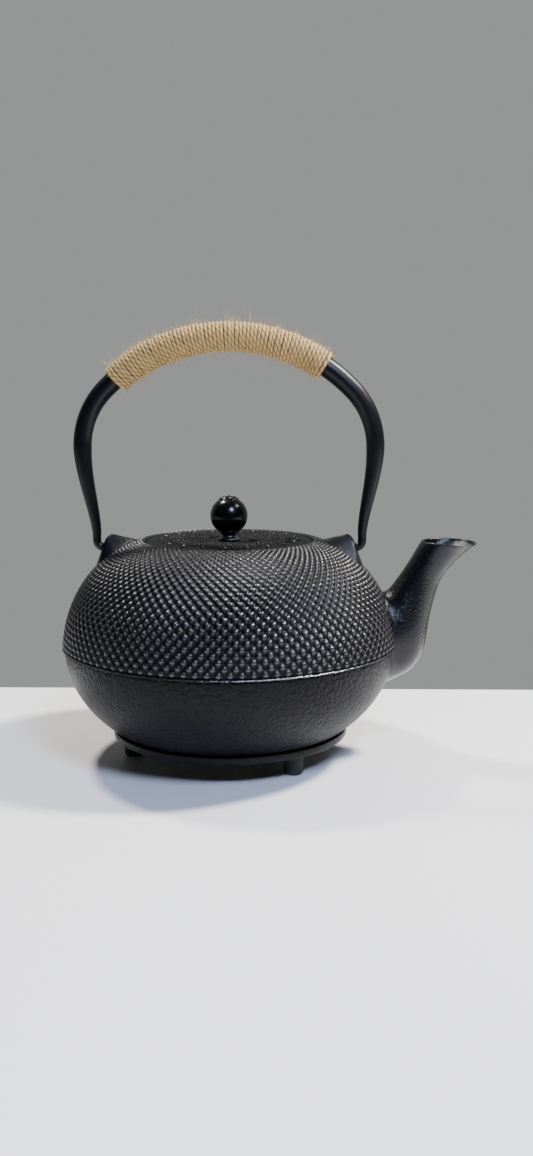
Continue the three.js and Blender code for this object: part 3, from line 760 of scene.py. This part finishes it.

# ---- twine grip ----------------------------------------------------------------------------------
# Single-ply jute garden twine wound tightly round the crown by hand, about two millimetres a turn, with
# stray fibres standing off it.

strand_across, strand_deep = 1.02, 1.25  # half sizes of the strand, along the rod and away from it
turn_step = 2.06
rng = np.random.default_rng(14)


def wound_part():
    """The stretch of the bail's line under the twine, at even steps of 0.1 mm."""
    line = bail_line()
    keep = (line[:, 1] > pivot + bail_rise - 60) & (line[:, 0] < 56.5) & (line[:, 0] > -65)
    line = line[keep]
    run = np.concatenate([[0], np.cumsum(np.hypot(*np.diff(line, axis=0).T))])
    even = np.arange(0, run[-1], 0.1)
    return np.stack([np.interp(even, run, line[:, 0]), np.interp(even, run, line[:, 1])], axis=-1), even


wound_line, wound_run = wound_part()
wound_tangent, wound_outward = frames(wound_line)


def on_rod(run, angle, lift):
    """A point at a length along the winding, an angle round the rod, and a height off its surface; also
    the directions away from the rod and along it."""
    line = np.stack([np.interp(run, wound_run, wound_line[:, k]) for k in (0, 1)], axis=-1)
    tangent = np.stack([np.interp(run, wound_run, wound_tangent[:, k]) for k in range(3)], axis=-1)
    outward = np.stack([np.interp(run, wound_run, wound_outward[:, k]) for k in range(3)], axis=-1)
    away = outward * np.cos(angle)[..., None] + np.array([0, 1, 0]) * np.sin(angle)[..., None]
    centre = np.stack([line[..., 0], 0 * line[..., 0], line[..., 1]], axis=-1)
    return centre + away * (rod_radius(line[..., 1]) + lift)[..., None], away, tangent


def winding():
    """A strand along a helix: about sixty turns, its spacing and thickness wandering a little, flattened
    where turns press on each other."""
    turns = int((wound_run[-1] - 2) / turn_step)
    steps = turns * 44
    angle = np.linspace(0, turns * 2 * math.pi, steps)
    wander = np.interp(angle, np.linspace(0, angle[-1], turns * 3), rng.normal(0, 0.13, turns * 3))
    lump = np.interp(angle, np.linspace(0, angle[-1], turns * 9), rng.normal(0, 0.055, turns * 9))
    run = 1 + angle / (2 * math.pi) * turn_step + wander
    centre, away, tangent = on_rod(run, angle, strand_deep + 0.1 + 0.6 * lump)
    columns = 12
    round_strand = np.linspace(0, 2 * math.pi, columns, endpoint=False)[None, :, None]
    size = (1 + lump)[:, None, None]
    ring = (away[:, None] * np.cos(round_strand) * strand_deep
            - tangent[:, None] * np.sin(round_strand) * strand_across) * size
    return centre[:, None] + ring, turns


def fibres(count):
    """Loose fibres: each leaves the winding at a low angle and curls as a parabola, in a thin three-sided
    taper."""
    run = rng.uniform(1, wound_run[-1] - 1, count)
    angle = rng.uniform(0, 2 * math.pi, count)
    root, away, tangent = on_rod(run, angle, 2 * strand_deep - 0.15)
    round_rod = np.cross(tangent, away)
    slope, heading = rng.uniform(0.15, 1.0, count), rng.uniform(0, 2 * math.pi, count)
    flat = round_rod * np.cos(heading)[:, None] + tangent * np.sin(heading)[:, None]
    way = away * slope[:, None] + flat * np.sqrt(1 - 0.8 * slope ** 2)[:, None]
    curl = rng.normal(0, 0.55, (count, 3))
    length = np.minimum(rng.gamma(3.0, 1.05, count) + 0.8, 8)
    share = np.linspace(0, 1, 6)
    spine = (root[:, None] + way[:, None] * (length[:, None] * share)[..., None]
             + curl[:, None] * (length[:, None] * share ** 2)[..., None] * 0.5)
    side = np.cross(way, away + 0.3 * flat)
    side /= np.linalg.norm(side, axis=1, keepdims=True)
    up = np.cross(side, way)
    up /= np.linalg.norm(up, axis=1, keepdims=True)
    turn = np.linspace(0, 2 * math.pi, 3, endpoint=False)
    ring = side[:, None] * np.cos(turn)[None, :, None] + up[:, None] * np.sin(turn)[None, :, None]
    thick = 0.075 * (1 - 0.75 * share)
    return spine[:, :, None] + ring[:, None] * thick[None, :, None, None]


def jute():
    """Jute: straw-coloured plies laid at a slant in the UV map, painted shade between them and on the
    strand's flanks, paler and greyer in patches, fully rough, with a soft sheen of fine fibres."""
    material = bpy.data.materials.new("jute twine")
    material.use_nodes = True
    tree = material.node_tree
    place = node(tree, "TexCoord")
    part = node(tree, "SeparateXYZ", Vector=place.outputs["UV"]).outputs
    slant = node(tree, "Math", {"operation": "ADD"}, in0=part["X"], in1=part["Y"]).outputs[0]
    wave = node(tree, "Math", {"operation": "SINE"},
                in0=node(tree, "Math", {"operation": "MULTIPLY"}, in0=slant, in1=2 * math.pi).outputs[0])
    ply = node(tree, "MapRange", Value=wave.outputs[0], From_Min=-1.0, From_Max=0.4).outputs["Result"]
    hair = node(tree, "TexNoise", Vector=place.outputs["Object"], Scale=2600.0, Detail=3.0).outputs["Fac"]
    patch = node(tree, "TexNoise", Vector=place.outputs["Object"], Scale=170.0, Detail=2.0).outputs["Fac"]
    straw = node(tree, "Mix", {"data_type": "RGBA"}, Factor=patch, in6=colour(0.53, 0.325, 0.105),
                 in7=colour(0.78, 0.53, 0.205)).outputs[2]
    # Painted shade in the creases between the plies.
    shadow = node(tree, "Mix", {"data_type": "RGBA"}, Factor=ply, in6=colour(0.36, 0.225, 0.085),
                  in7=straw).outputs[2]
    grain = node(tree, "MapRange", Value=hair, From_Min=0.3, From_Max=0.7, To_Min=0.7, To_Max=1.2)
    # Painted shade on the strand's flanks, where one turn meets the next: the colour falls to 0.3 of itself
    # there.
    half_turn = node(tree, "Math", {"operation": "MULTIPLY"}, in0=part["X"], in1=math.pi).outputs[0]
    crest = node(tree, "Math", {"operation": "COSINE"}, in0=half_turn).outputs[0]
    groove = node(tree, "MapRange", Value=crest, From_Min=0.0, From_Max=0.85, To_Min=0.3).outputs["Result"]
    tone = node(tree, "Math", {"operation": "MULTIPLY"}, in0=grain.outputs["Result"], in1=groove).outputs[0]
    shown = node(tree, "VectorMath", {"operation": "SCALE"}, in0=shadow, Scale=tone)
    height = node(tree, "Math", {"operation": "ADD"}, in0=ply, in1=hair).outputs[0]
    shader = tree.nodes["Principled BSDF"]
    tree.links.new(shown.outputs[0], shader.inputs["Base Color"])
    tree.links.new(node(tree, "Bump", Height=height, Distance=0.0003).outputs[0], shader.inputs["Normal"])
    shader.inputs["Roughness"].default_value = 0.9
    shader.inputs["Specular IOR Level"].default_value = 0.2
    shader.inputs["Sheen Weight"].default_value = 0.35
    shader.inputs["Sheen Tint"].default_value = colour(1.0, 0.86, 0.6)
    return material


twine_jute = jute()
strand, turn_count = winding()
plies_each_turn = 13.37
twine = surface("twine_winding", strand, turns=(2, turn_count * plies_each_turn))
fit(twine, "bail", ["twine_grip"], twine_jute)
fit(surface("twine_fibres", fibres(2200)), "bail", ["twine_grip"], twine_jute)

# ---- trivet --------------------------------------------------------------------------------------
# A round cast plate with a raised, rounded rim that the pot's base sits inside, on three short feet of
# matt black rubber held by countersunk screws.

plate_low, plate_high = (1000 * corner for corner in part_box("trivet_plate"))
plate_radius = (plate_high.x - plate_low.x) / 2


def plate_profile():
    top = plate_low.z + 2.6
    inner = plate_radius - 1.8
    outline = [[0.4, plate_low.z], [plate_radius - 6, plate_low.z], [plate_radius - 0.2, plate_low.z + 0.3],
               [plate_radius, plate_low.z + 1.6], [plate_radius, plate_high.z], [inner, plate_high.z],
               [inner - 1.4, top], [0.4, top]]
    return rounded(outline, 1.1, 5)


plate_enamel = enamelled("trivet enamel", colour(0.006, 0.006, 0.0065), 0.34, 700.0, 0.3)
disc = surface("trivet_disc", lathe(plate_profile(), 160))
fit(disc, "trivet", ["trivet_plate"], plate_enamel)


def foot_profile(top):
    outline = [[0.4, 0.0], [4.3, 0.0], [5.3, 1.2], [5.4, 3.0], [5.4, top + 0.2], [0.4, top + 0.2]]
    return rounded(outline, 0.8)


def rubber():
    """Matt moulded rubber, greyed with shelf dust low down."""
    material = bpy.data.materials.new("foot rubber")
    material.use_nodes = True
    tree = material.node_tree
    place = node(tree, "TexCoord").outputs["Object"]
    grain = node(tree, "TexNoise", Vector=place, Scale=1400.0, Detail=2.0).outputs["Fac"]
    height = node(tree, "SeparateXYZ", Vector=place).outputs["Z"]
    dust = node(tree, "MapRange", Value=height, From_Min=0.003, From_Max=0.0, To_Max=0.35).outputs["Result"]
    shown = node(tree, "Mix", {"data_type": "RGBA"}, Factor=dust, in6=colour(0.012, 0.012, 0.013),
                 in7=colour(0.07, 0.068, 0.065)).outputs[2]
    rough = node(tree, "MapRange", Value=grain, To_Min=0.55, To_Max=0.8).outputs["Result"]
    shader = tree.nodes["Principled BSDF"]
    tree.links.new(shown, shader.inputs["Base Color"])
    tree.links.new(rough, shader.inputs["Roughness"])
    tree.links.new(node(tree, "Bump", Height=grain, Distance=0.00008).outputs[0], shader.inputs["Normal"])
    return material


foot_rubber = rubber()
for foot_number in (1, 2, 3):
    foot_node = f"trivet_foot_{foot_number}"
    foot_low, foot_high = (1000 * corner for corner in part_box(foot_node))
    middle = (foot_low + foot_high) / 2
    foot_points = lathe(foot_profile(foot_high.z), 56) + (middle.x - 1000 * axis_x, middle.y, 0)
    fit(surface(f"foot_{foot_number}_rubber", foot_points), "trivet", [foot_node], foot_rubber)

# ---- tea strainer and screws ---------------------------------------------------------------------
# A pressed stainless basket with fine holes, hung by its rolled rim inside the mouth; plain stainless
# screws and a washer hold the knob and the feet.


def stainless(name, holes=False):
    """Brushed stainless steel: fine streaks round the axis; the basket also has round holes, in rows."""
    material = bpy.data.materials.new(name)
    material.use_nodes = True
    tree = material.node_tree
    place = node(tree, "TexCoord")
    stretched = node(tree, "Mapping", Vector=place.outputs["Object"])
    stretched.inputs["Scale"].default_value = (60, 60, 2400)
    streak = node(tree, "TexNoise", Vector=stretched.outputs[0], Scale=1.0, Detail=4.0).outputs["Fac"]
    tone = node(tree, "MapRange", Value=streak, From_Min=0.3, From_Max=0.7, To_Min=0.42, To_Max=0.62)
    tone = tone.outputs["Result"]
    rough = node(tree, "MapRange", Value=streak, To_Min=0.2, To_Max=0.42).outputs["Result"]
    shader = tree.nodes["Principled BSDF"]
    tree.links.new(node(tree, "CombineColor", Red=tone, Green=tone, Blue=tone).outputs[0],
                   shader.inputs["Base Color"])
    tree.links.new(rough, shader.inputs["Roughness"])
    shader.inputs["Metallic"].default_value = 1.0
    tree.links.new(node(tree, "Bump", Height=streak, Distance=0.00003).outputs[0], shader.inputs["Normal"])
    if holes:
        cell = node(tree, "VectorMath", {"operation": "FRACTION"}, in0=place.outputs["UV"]).outputs[0]
        apart = node(tree, "VectorMath", {"operation": "DISTANCE"}, in0=cell, in1=(0.5, 0.5, 0.0))
        metal = node(tree, "Math", {"operation": "GREATER_THAN"}, in0=apart.outputs["Value"], in1=0.27)
        tree.links.new(metal.outputs[0], shader.inputs["Alpha"])
    return material


basket_low, basket_high = (1000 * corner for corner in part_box("strainer_basket"))
rim_low, rim_high = (1000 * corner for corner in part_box("strainer_rim"))


def basket_profile():
    radius = (basket_high.x - basket_low.x) / 2
    floor, top = basket_low.z, basket_high.z
    outline = [[0.5, floor], [radius - 10, floor], [radius, floor + 10], [radius, top],
               [radius - 0.7, top], [radius - 0.7, floor + 10], [radius - 10, floor + 0.7],
               [0.5, floor + 0.7]]
    dense = rounded(outline, 9.0, 8)
    run = np.concatenate([[0], np.cumsum(np.hypot(*np.diff(dense, axis=0).T))])
    even = np.linspace(0, run[-1], 120)
    return np.stack([np.interp(even, run, dense[:, 0]), np.interp(even, run, dense[:, 1])], axis=-1)


def rim_profile():
    inner = (basket_high.x - basket_low.x) / 2 - 1.0
    outer = (rim_high.x - rim_low.x) / 2
    outline = [[inner, rim_low.z], [outer, rim_low.z], [outer, rim_high.z], [inner, rim_high.z],
               [inner, rim_low.z]]
    return rounded(outline, 0.3)[:-1]


steel_plain, steel_holes = stainless("stainless"), stainless("stainless with holes", holes=True)
fit(surface("strainer_sieve", lathe(basket_profile(), 120), turns=(130, 130)), "strainer",
    ["strainer_basket"], steel_holes)
fit(surface("strainer_ring", lathe(rim_profile(), 120), loop=True), "strainer", ["strainer_rim"],
    steel_plain)
for steel_node in ("knob_screw", "knob_washer", "foot_screw_1", "foot_screw_2", "foot_screw_3"):
    frame["nodes"][steel_node].data.materials.clear()
    frame["nodes"][steel_node].data.materials.append(steel_plain)
